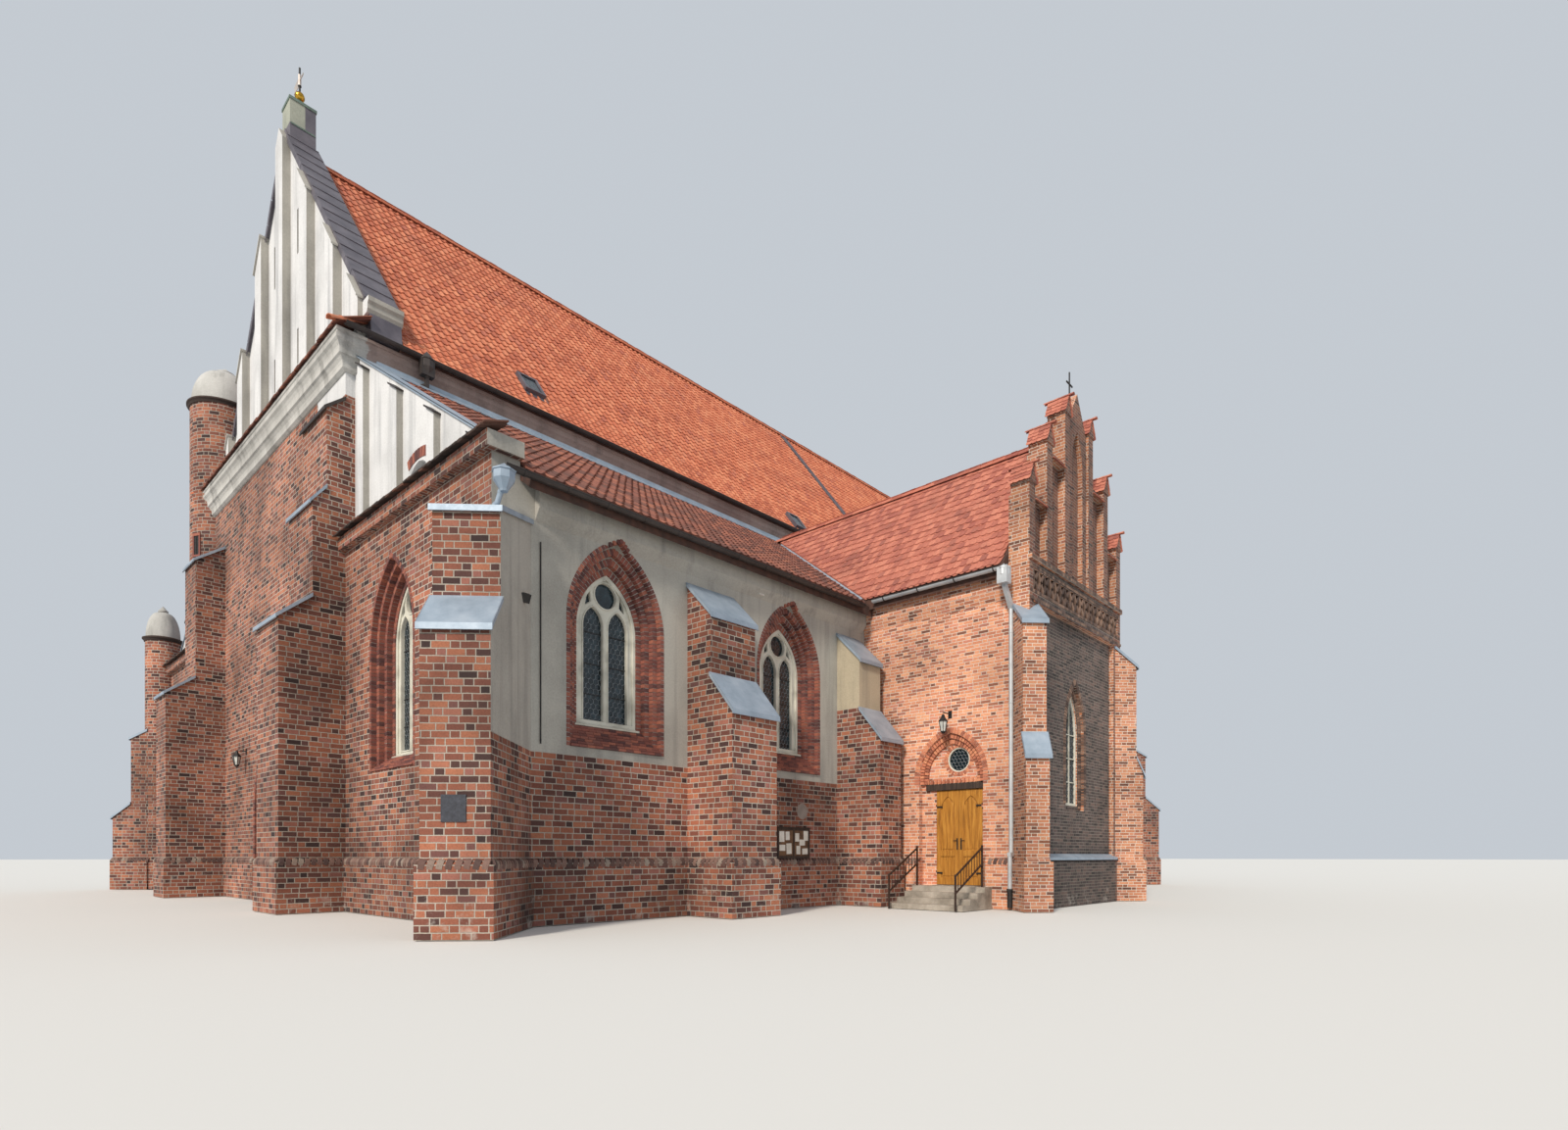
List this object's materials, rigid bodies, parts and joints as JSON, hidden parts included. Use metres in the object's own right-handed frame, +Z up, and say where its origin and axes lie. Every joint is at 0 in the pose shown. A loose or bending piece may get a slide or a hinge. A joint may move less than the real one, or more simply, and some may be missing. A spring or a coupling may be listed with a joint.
{
  "type": "church building",
  "caption": "Brick church with a steep tiled nave, lean-to aisles, a white stepped-pilaster west gable, round turrets and a south porch with a pinnacled gable and double door.",
  "frame": {"origin": "middle of the nave's floor underside, at the lowest ground level", "axes": "+X east along the nave's ridge, +Y north across the aisles, +Z up; the west gable looks along -X and the porch stands on the -Y side"},
  "size_m": [32.3183, 31.4421, 23.15],
  "materials": {
    "brick": "rough red brick laid in light lime mortar, weathered",
    "porch_brick": "newer orange-red brick with fine joints",
    "white_plaster": "matte white lime plaster, dirty at its edges",
    "grey_plaster": "rough beige-grey plaster with stains and patches",
    "roof_tile": "matte orange clay tiles in rows",
    "old_tile": "old dark red-brown clay tiles",
    "zinc": "light blue-grey sheet metal, dull",
    "coping_metal": "purple-grey weathered sheet metal",
    "stone": "rough grey stone, worn",
    "window_paint": "off-white painted window frame, satin",
    "glass": "dark clear window glass",
    "wood": "honey-coloured varnished boards",
    "dark_wood": "dark stained timber",
    "iron": "black painted iron",
    "gilt": "worn gilt metal"
  },
  "bodies": {
    "church": {"church_floor": "stone", "nave_west_wall": "brick", "west_door": "dark_wood", "nave_south_wall": "brick", "nave_north_wall": "brick", "nave_east_wall": "brick", "east_window": "glass", "nave_cornice": "white_plaster", "nave_roof": "roof_tile", "nave_west_gable": "white_plaster", "gable_coping": "coping_metal", "gable_finial": "gilt", "nave_west_buttress_south": "brick", "nave_west_buttress_north": "brick", "stair_turret": "brick", "aisle_turret": "brick", "south_aisle_west_wall": "brick", "south_aisle_west_window": "window_paint", "south_aisle_wall": "grey_plaster", "south_aisle_wall_east": "grey_plaster", "south_window_1": "window_paint", "south_window_2": "window_paint", "south_aisle_glazing": "glass", "porch_inner_arch": "grey_plaster", "south_buttress_1": "brick", "south_buttress_2": "brick", "corner_buttress_south_west": "brick", "corner_buttress_north_west": "brick", "south_aisle_east_wall": "brick", "south_aisle_roof": "old_tile", "south_aisle_roof_middle": "old_tile", "south_aisle_roof_east": "old_tile", "north_aisle_west_wall": "brick", "north_aisle_west_window": "window_paint", "north_aisle_wall": "brick", "north_aisle_glazing": "glass", "north_aisle_east_wall": "brick", "north_aisle_roof": "old_tile", "porch_west_wall_north": "porch_brick", "porch_west_wall_south": "porch_brick", "porch_doorway_head": "porch_brick", "door_lintel": "dark_wood", "porch_round_window": "glass", "porch_east_wall": "porch_brick", "porch_south_gable": "porch_brick", "porch_window": "glass", "porch_roof": "roof_tile", "porch_buttress_west": "porch_brick", "porch_buttress_east": "porch_brick", "porch_steps": "stone", "porch_handrail_north": "iron", "porch_handrail_south": "iron", "nave_gutter": "zinc", "aisle_gutter_south": "zinc", "porch_gutter": "zinc", "notice_board": "dark_wood", "porch_lantern": "iron"},
    "north_door": {"door_leaf_north": "wood"},
    "south_door": {"door_leaf_south": "wood"},
    "vane": {"weather_vane": "gilt"}
  },
  "joints": [
    {"name": "north_door_hinge", "type": "hinge", "parent": "church", "child": "north_door", "pos_m": [-4.57, -14.406, 1.68], "axis": [0, 0, -1], "range_deg": [0, 100]},
    {"name": "south_door_hinge", "type": "hinge", "parent": "church", "child": "south_door", "pos_m": [-4.57, -15.649, 1.68], "axis": [0, 0, 1], "range_deg": [0, 100]},
    {"name": "vane_spin", "type": "hinge", "parent": "church", "child": "vane", "pos_m": [-14.34, 0, 22.79], "axis": [0, 0, 1], "continuous": true}
  ]
}
